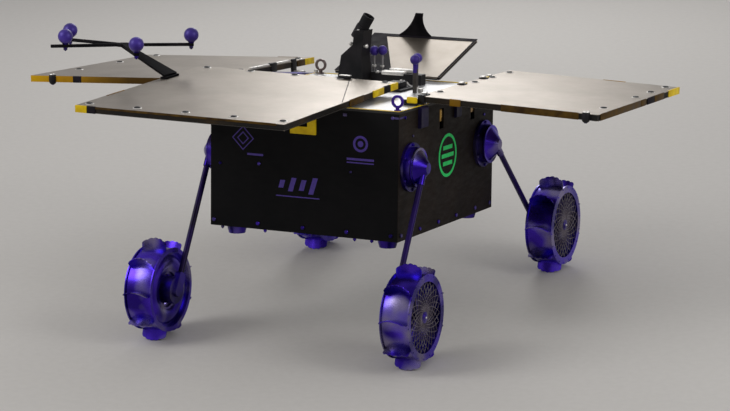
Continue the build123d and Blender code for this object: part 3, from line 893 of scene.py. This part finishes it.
# The black foot holds the yellow tab and also stands in for the shadow beneath it, a painted shadow
tab_foot_and_shadow = [
    (slab(0.03, 0.011, 0.0042, 0.001), on_deck(0.19, -0.1365)),
    (slab(0.008, 0.0085, 0.009, 0.001), on_deck(0.177, -0.1365, 0.002)),
]
dress(tab_foot_and_shadow, "deck_corner_tab_foot_and_shadow", "black_housing", "chassis")

low_bracket = [
    (slab(0.05, 0.062, 0.005, 0.0015), on_deck(0.066, 0.062)),
    (slab(0.032, 0.044, 0.017, 0.002), on_deck(0.062, 0.066)),
]
dress(low_bracket, "deck_low_bracket", "black_housing", "chassis")

# Gold foil in the slots of the side walls

SLOT_PLACES = (-0.031, 0.128)
FOIL_SIZE = (0.0012, 0.0185, 0.025)
FOIL_INSET = 0.0024
FOIL_UNDERSIDE = 0.218
slot_foil = []
for sign in (-1, 1):
    for y in SLOT_PLACES:
        slot_foil.append((slab(*FOIL_SIZE, 0.0003),
                          BODY @ shift(sign * (half_x - FOIL_INSET), y, FOIL_UNDERSIDE)))
dress(slot_foil, "slot_foil", "gold_film", "chassis")

# Marks on the walls: plain squares, rings and bars

MARK_SHEET = 0.00025


def outline_square(size, band):
    """A square ring standing on its corner."""
    shape = bmesh.new()
    bmesh.ops.create_circle(shape, cap_ends=True, segments=4, radius=size)
    face = shape.faces[:]
    bmesh.ops.inset_region(shape, faces=face, thickness=band, use_boundary=True)
    bmesh.ops.delete(shape, geom=face, context="FACES")
    rise(shape, shape.faces[:], MARK_SHEET)
    bmesh.ops.recalc_face_normals(shape, faces=shape.faces)
    return as_mesh(shape, "square")


def slanted_bar(width, height, lean):
    """A bar whose top leans over to its right."""
    shape = bmesh.new()
    bmesh.ops.create_grid(shape, x_segments=1, y_segments=1, size=0.5)
    bmesh.ops.scale(shape, vec=(width, height, 1), verts=shape.verts)
    for vert in shape.verts:
        vert.co.x += lean * vert.co.y
    rise(shape, shape.faces[:], MARK_SHEET)
    bmesh.ops.recalc_face_normals(shape, faces=shape.faces)
    return as_mesh(shape, "bar")


# Middles of the marks: x and z of the squares, of the rings and of the slanted bars
SQUARES = (-0.137, 0.185)
SQUARE_BAND = 0.0028
RINGS = (0.127, 0.192)
BARS = (-0.048, 0.098)
BAR_STEP = 0.0235
BAR_WIDTH = 0.011
BAR_HEIGHTS = (0.016, 0.028, 0.022, 0.034)
BAR_LEAN = 0.3
FRONT_LINES = [
    # x, z, width, height
    (-0.109, 0.153, 0.036, 0.0042),
    (0.127, 0.1605, 0.06, 0.0045),
    (0.127, 0.1535, 0.06, 0.0025),
    (-0.012, 0.0735, 0.098, 0.0022),
]
front_marks = [(outline_square(size, SQUARE_BAND), on_wall("front", *SQUARES))
               for size in (0.025, 0.0135)]
front_marks += [(ring(outer, inner, MARK_SHEET), on_wall("front", *RINGS))
                for outer, inner in ((0.0165, 0.0115), (0.0062, 0.0002))]
front_marks += [(slanted_bar(wide, tall, 0), on_wall("front", x, z))
                for x, z, wide, tall in FRONT_LINES]
for index, tall in enumerate(BAR_HEIGHTS):
    front_marks.append((slanted_bar(BAR_WIDTH, tall, BAR_LEAN),
                        on_wall("front", BARS[0] + BAR_STEP * index, BARS[1])))
dress(front_marks, "front_wall_marks", "violet_mark", "chassis")

# The left wall's ring: y and z of its middle, and the bars in it
SIDE_RING = (0.002, 0.144)
SIDE_BARS = (0.046, 0.06, 0.046)
SIDE_BAR_HEIGHT = 0.0085
SIDE_BAR_STEP = 0.0165
side_mark = [(ring(0.045, 0.0385, MARK_SHEET, 64), on_wall("left", *SIDE_RING))]
for index, wide in enumerate(SIDE_BARS):
    side_mark.append((slanted_bar(wide, SIDE_BAR_HEIGHT, 0), on_wall(
        "left", SIDE_RING[0], SIDE_RING[1] + SIDE_BAR_STEP * (index - 1))))
dress(side_mark, "left_wall_mark", "green_mark", "chassis")

# Panels: caps over their screws, tape and clips on their edges

boards = {name: plate_frame(f"{name}_panel_skins") for name in ("front", "left", "right", "rear")}
PANEL_BODY = {"front": "chassis", "right": "chassis", "left": "left_panel", "rear": "rear_panel"}
cap = turned([(0, 0.0028), (0.0042, 0.0028), (0.0058, 0.0022), (0.0066, 0.001), (0.0067, 0),
              (0, 0)], 24)
cap_washer = turned([(0.0068, 0), (0.0068, 0.0008), (0.0076, 0.0009), (0.0088, 0.0004),
                     (0.0092, 0), (0.0068, 0)], 24)
CAP_ROWS = [
    # panel, axis that the row runs along, its place across, places along it, all in millimetres
    ("front", "x", -229, (-214, -106, 2, 108, 214)),
    ("front", "x", 243, (-208, -104, 0, 104, 208)),
    ("left", "y", 170, (-148, 36, 126, 217)),
    ("left", "y", -179, (-161, 16, 108, 203)),
    ("right", "y", -180, (-111, 65, 231)),
    ("right", "y", 196, (-200, -60, 80, 215)),
]


def edge_place(name, edge, along):
    """A place on a panel's top at an edge, given in metres from that edge's middle."""
    board, (width, depth, _) = boards[name]
    spots = {
        "front": (along, -depth / 2),
        "back": (along, depth / 2),
        "left": (width / 2, along),
        "right": (-width / 2, along),
    }
    turns = {"front": 0, "back": 180, "left": 90, "right": -90}
    return board @ shift(*spots[edge]) @ Matrix.Rotation(math.radians(turns[edge]), 4, "Z")


CAPPED = ("front", "left", "right")
caps = {name: [] for name in CAPPED}
washers = {name: [] for name in CAPPED}
for name, axis, across_row, places in CAP_ROWS:
    for along_row in places:
        x, y = (along_row, across_row) if axis == "x" else (across_row, along_row)
        spot = boards[name][0] @ shift(x * MILLIMETRE, y * MILLIMETRE)
        caps[name].append((cap, spot))
        washers[name].append((cap_washer, spot))
for name in CAPPED:
    body = PANEL_BODY[name]
    dress(caps[name], f"{name}_panel_caps", "black_clip", body)
    dress(washers[name], f"{name}_panel_washers", "silver_trim", body)

# How far a wrap stands out from its panel, and the wraps that differ
WRAP_SHEET = 0.0004
OTHER_SHEETS = {"clip": 0.0025, "front_band": 0.0002}
EDGE_WRAPS = [
    # panel, edge, place along it and width in millimetres, reach over the top, material, name
    ("left", "front", -186, 14, 9, "black_clip", "clip"),
    ("left", "front", -112, 23, 4, "amber_edge", "patch"),
    ("left", "front", 70, 165, 0.5, "brown_edge", "brown"),
    ("left", "left", -112, 228, 0.5, "brown_edge", "outer_front"),
    ("left", "left", 18, 30, 1, "brown_edge", "outer_patch"),
    ("left", "left", 63, 42, 1, "dark_frame", "outer_tape"),
    ("left", "left", 114, 56, 1.5, "brown_edge", "outer_back_patch"),
    ("left", "left", 205, 66, 4, "yellow_tape", "outer_tip"),
    ("left", "back", 48, 50, 4, "amber_edge", "back_patch"),
    ("front", "left", 238, 36, 6, "yellow_tape", "tip"),
    ("front", "left", 204, 32, 5, "dark_frame", "side_tape"),
    ("front", "left", 163, 50, 4, "yellow_tape", "side_patch"),
    ("front", "left", 61, 64, 1.5, "brown_edge", "side_brown"),
    ("front", "front", -218, 26, 4, "yellow_tape", "corner"),
    ("front", "front", -195, 19, 4, "dark_frame", "corner_tape"),
    ("front", "right", -102, 70, 4, "amber_edge", "outer_patch"),
    ("right", "front", 0, 429, 1, "amber_fade", "front_band"),
    ("right", "front", -98, 21, 2, "dark_frame", "tape"),
    ("right", "back", 150, 50, 4, "amber_edge", "back_patch"),
    ("right", "left", 232, 46, 4, "yellow_tape", "inner_tip"),
    ("right", "left", 190, 38, 2, "brown_edge", "inner_patch"),
]
for name, edge, along_edge, wide, reach, material, title in EDGE_WRAPS:
    thick = boards[name][1][2]
    over = reach * MILLIMETRE
    proud = OTHER_SHEETS.get(title, WRAP_SHEET)
    wrap = slab(wide * MILLIMETRE, over + proud, thick + 2 * proud, 0.0001 + proud * 0.4)
    place = edge_place(name, edge, along_edge * MILLIMETRE)
    place = place @ shift(0, (over - proud) / 2, -thick - proud)
    dress([(wrap, place)], f"{name}_panel_{edge}_{title}", material, PANEL_BODY[name])

# Fittings that stand on the panels: slabs with their panel's own coordinates
PANEL_SLABS = [
    # panel, middle x, y and underside z, size x, y, z in millimetres, material, name
    ("front", 14, -256.2, -4.2, 398, 0.8, 4.6, "brown_edge", "front_line"),
    ("front", 114, 249, 0, 27, 11, 6, "black_housing", "back_block"),
    ("front", 114, 249, 6, 25, 9, 1.6, "silver_trim", "back_plate"),
    ("right", 212, -3, 0, 8, 84, 5, "silver_trim", "inner_strip"),
    ("right", 212, 106, 0, 8, 64, 5, "silver_trim", "inner_back_strip"),
    ("right", 213, 58, -15, 9, 29, 21, "black_housing", "inner_clip"),
    ("right", 215, 155, -27, 6, 20, 32.5, "black_housing", "bracket"),
    ("right", 228, 155, -27, 26, 16, 4.5, "black_housing", "bracket_foot"),
    ("right", 228, 155, -22.5, 24, 14, 2, "silver_trim", "bracket_plate"),
    ("rear", 66, -106.3, -6.2, 104, 0.8, 6.4, "panel_sheet_rear", "front_lip"),
    ("left", -189, 83, 2, 9, 15, 3, "silver_trim", "hinge_top"),
    ("left", -189, -30, 2, 9, 15, 3, "silver_trim", "hinge_middle_top"),
    ("left", -189, -217, 2, 9, 15, 3, "silver_trim", "hinge_front_top"),
    ("left", -188, 114, 0, 9, 12, 5, "silver_trim", "hinge_back_top"),
    ("left", -187, -16, 0, 6, 12, 2, "yellow_tape", "hinge_middle_tape"),
    ("left", -187, 98, 0, 6, 14, 2, "yellow_tape", "hinge_tape"),
]
for name, x, y, z, *size, material, title in PANEL_SLABS:
    size = [length * MILLIMETRE for length in size]
    place = boards[name][0] @ shift(x * MILLIMETRE, y * MILLIMETRE, z * MILLIMETRE)
    dress([(slab(*size, min(size) * 0.3), place)], f"{name}_panel_{title}", material,
          PANEL_BODY[name])

# Round knobs on two front edges
edge_knob = turned([(0, -0.0045), (0.0045, -0.0045), (0.0072, -0.002), (0.0083, 0.003),
                    (0.0083, 0.0105), (0.0074, 0.0148), (0.006, 0.0165), (0, 0.0165)], 32)
knob_rim = turned([(0.0044, 0.0163), (0.005, 0.0175), (0.0064, 0.0175), (0.0072, 0.0158),
                   (0.0044, 0.0163)], 32)
knob_tip = turned([(0, -0.0065), (0.003, -0.006), (0.0036, -0.0045), (0, -0.0045)], 20)
EDGE_KNOBS = {"left": 168, "right": -159.3}
KNOB_PARTS = {
    "knob": (edge_knob, "black_housing"),
    "knob_rim": (knob_rim, "silver_trim"),
    "knob_tip": (knob_tip, "machined_metal"),
}
for name, along_edge in EDGE_KNOBS.items():
    place = edge_place(name, "front", along_edge * MILLIMETRE) @ shift(0, 0, -PANEL_THICKNESS)
    for title, (mesh, material) in KNOB_PARTS.items():
        dress([(mesh, place)], f"{name}_panel_{title}", material, PANEL_BODY[name])

# A thin black strip painted as a wire's shadow on the front panel by the tower, and the rear panel's dark frame

WIRE_SHADOW_PLACE = (0.1765, 0.1235)
WIRE_SHADOW_TURN = math.radians(22.6)
# Painted shadow: a thin black strip laid on the front panel where a wire's shadow falls
wire_shadow = slab(0.0016, 0.255, 0.0006, 0.0002)
wire_shadow_place = boards["front"][0] @ shift(*WIRE_SHADOW_PLACE) @ Matrix.Rotation(WIRE_SHADOW_TURN, 4, "Z")
dress([(wire_shadow, wire_shadow_place)], "front_panel_wire_shadow", "black_clip", "chassis")

# Corners of the bright sheet inside the frame, by the signs of x and y
FRAME_CORNERS = {(-1, 1): (-0.0878, 0.092), (1, 1): (0.1195, 0.092),
                 (1, -1): (0.1195, -0.1054), (-1, -1): (0.0125, -0.1054)}
FRAME_INSET = 0.005
FRAME_SHEET = 0.0007
FRAME_SINK = 0.0001


def frame_band(width, depth):
    """A flat band round a board, open over the bright sheet."""
    shape = bmesh.new()
    bmesh.ops.create_grid(shape, x_segments=1, y_segments=1, size=0.5)
    bmesh.ops.scale(shape, vec=(width, depth, 1), verts=shape.verts)
    middle = shape.faces[:]
    bmesh.ops.inset_region(shape, faces=middle, thickness=FRAME_INSET, use_boundary=True)
    for vert in middle[0].verts:
        signs = [round(math.copysign(1, value)) for value in vert.co.xy]
        vert.co.xy = FRAME_CORNERS[tuple(signs)]
    bmesh.ops.delete(shape, geom=middle, context="FACES")
    rise(shape, shape.faces[:], FRAME_SHEET)
    bmesh.ops.recalc_face_normals(shape, faces=shape.faces)
    return as_mesh(shape, "frame_band")


rear_board, rear_size = boards["rear"]
dress([(frame_band(*rear_size[:2]), rear_board @ shift(0, 0, -FRAME_SINK))],
      "rear_panel_frame", "dark_frame", "rear_panel")
nodes["rear_panel_core"].data.materials[0] = materials["dark_frame"]

# Marker rig: a washer under each ball and a nut under the arm

RIG_TOP = 0.351
RIG_BOTTOM = 0.345
RIG_STEMS = [(-0.5511, -0.2453), (-0.6011, -0.1437), (-0.3411, -0.0858), (-0.3521, -0.2961)]
rig_washer = turned([(0.0031, 0), (0.0055, 0), (0.006, 0.0012), (0.0085, 0.0048),
                     (0.0031, 0.0048), (0.0031, 0)], 24)
rig_nut = nut(0.0042, 0.006)
dress([(rig_washer, BODY @ shift(x, y, RIG_TOP)) for x, y in RIG_STEMS], "rig_washers",
      "machined_metal", "chassis")
dress([(rig_nut, on_body("down", x, y, RIG_BOTTOM)) for x, y in RIG_STEMS], "rig_nuts",
      "machined_metal", "chassis")

# Camera, fitted in the body's frame: angles in degrees, lengths in metres, and the
# photograph's frame in pixels
IMAGE_WIDTH = 730
IMAGE_HEIGHT = 411
FOCAL_PIXELS = 2852
CAMERA_AZIMUTH = 25.4
CAMERA_RISE = 9.83
CAMERA_ROLL = 0.66
CAMERA_DISTANCE = 5.968
BODY_ORIGIN_PIXEL = (353.9, 215.5)
SENSOR = 36

# Floor, world and lamps
FLOOR_HALF_SIZE = 30
WORLD_COLOUR = (0.9, 0.9, 0.92, 1)
WORLD_STRENGTH = 0.45
LAMPS = [
    # name, place, what it is aimed at, diameter, watts
    ("back", (-1.2, 3.4, 1.9), (0.1, 0, 0.4), 1.3, 24),
    ("key", (-2.4, -2.2, 2.6), (0, 0, 0.2), 2.2, 48),
    ("side", (3.0, -0.6, 1.8), (0, 0, 0.2), 1.6, 22),
]


def add_camera():
    azimuth = math.radians(CAMERA_AZIMUTH)
    height = math.radians(CAMERA_RISE)
    roll = math.radians(CAMERA_ROLL)
    back = Vector((math.sin(azimuth) * math.cos(height), -math.cos(azimuth) * math.cos(height),
                   math.sin(height)))
    right = Vector((math.cos(azimuth), math.sin(azimuth), 0))
    up = back.cross(right)
    right, up = (right * math.cos(roll) + up * math.sin(roll),
                 up * math.cos(roll) - right * math.sin(roll))
    x, y = BODY_ORIGIN_PIXEL
    shift_x = (x - IMAGE_WIDTH / 2) / FOCAL_PIXELS * CAMERA_DISTANCE
    shift_y = (IMAGE_HEIGHT / 2 - y) / FOCAL_PIXELS * CAMERA_DISTANCE
    place = back * CAMERA_DISTANCE - right * shift_x - up * shift_y
    data = bpy.data.cameras.new("camera")
    data.sensor_width = SENSOR
    data.lens = FOCAL_PIXELS / IMAGE_WIDTH * SENSOR
    camera = bpy.data.objects.new("camera", data)
    scene.collection.objects.link(camera)
    camera.matrix_world = BODY @ axes(right, up, back, place)
    scene.camera = camera


def add_floor():
    data = bpy.data.meshes.new("floor")
    shape = bmesh.new()
    bmesh.ops.create_grid(shape, x_segments=1, y_segments=1, size=FLOOR_HALF_SIZE)
    shape.to_mesh(data)
    shape.free()
    floor = bpy.data.objects.new("floor", data)
    scene.collection.objects.link(floor)
    m = Material("floor_paint")
    grain = m.noise(m.place(), 60.0)
    m.set(Base_Color=m.mix(grain, (0.6, 0.575, 0.54), (0.66, 0.635, 0.6)), Roughness=0.8)
    data.materials.append(m.data)


def add_lamp(name, place, target, size, power):
    data = bpy.data.lights.new(name, "AREA")
    data.shape = "DISK"
    data.size = size
    data.energy = power
    lamp = bpy.data.objects.new(name, data)
    scene.collection.objects.link(lamp)
    aim = (Vector(target) - Vector(place)).to_track_quat("-Z", "Y")
    lamp.matrix_world = Matrix.Translation(place) @ aim.to_matrix().to_4x4()


def add_world():
    world = bpy.data.worlds.new("studio")
    scene.world = world
    world.use_nodes = True
    tree = world.node_tree
    tree.nodes["Background"].inputs["Color"].default_value = WORLD_COLOUR
    tree.nodes["Background"].inputs["Strength"].default_value = WORLD_STRENGTH


scene.view_settings.view_transform = "Standard"
add_camera()
add_floor()
add_world()
for lamp in LAMPS:
    add_lamp(*lamp)
